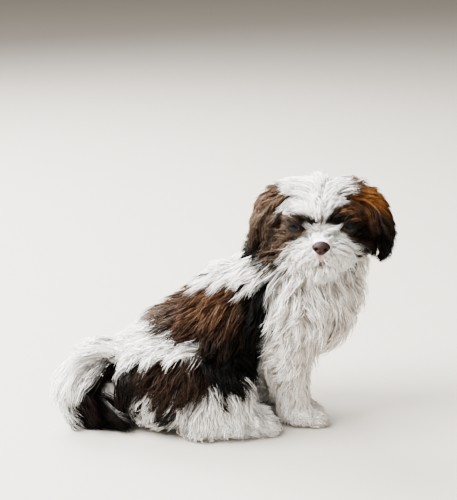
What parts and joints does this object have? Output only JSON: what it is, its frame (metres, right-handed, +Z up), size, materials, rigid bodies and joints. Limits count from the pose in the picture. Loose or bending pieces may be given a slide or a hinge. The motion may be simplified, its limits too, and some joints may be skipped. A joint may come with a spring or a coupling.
{
  "type": "sitting shih tzu puppy model",
  "caption": "Life-size still model of a sitting long-coated toy dog with its head turned to its right and its tail curled on the floor.",
  "frame": {"origin": "middle of the dog's box seen from above, on the floor it sits on", "axes": "+X the way the dog's chest points, +Y to its left side, +Z up"},
  "size_m": [0.3562, 0.1714, 0.2698],
  "materials": {
    "coat": "long soft white hair",
    "dark_coat": "long soft dark brown hair with black and golden tips",
    "eye": "wet dark brown eye",
    "nose_leather": "damp pebbled dark liver nose leather",
    "claw": "pale horn claws"
  },
  "bodies": {
    "root": {"eye_right": "eye", "eye_left": "eye", "nose": "nose_leather", "torso": "coat", "rump": "coat", "neck": "coat", "head": "coat", "lower_jaw": "coat", "ear_right": "dark_coat", "ear_left": "dark_coat", "foreleg_right": "coat", "foreleg_left": "coat", "thigh_right": "dark_coat", "thigh_left": "dark_coat", "forepaw_right": "coat", "forepaw_left": "coat", "hindfoot_right": "coat", "hindfoot_left": "coat", "tail_base": "coat", "tail_tip": "dark_coat"}
  },
  "joints": []
}
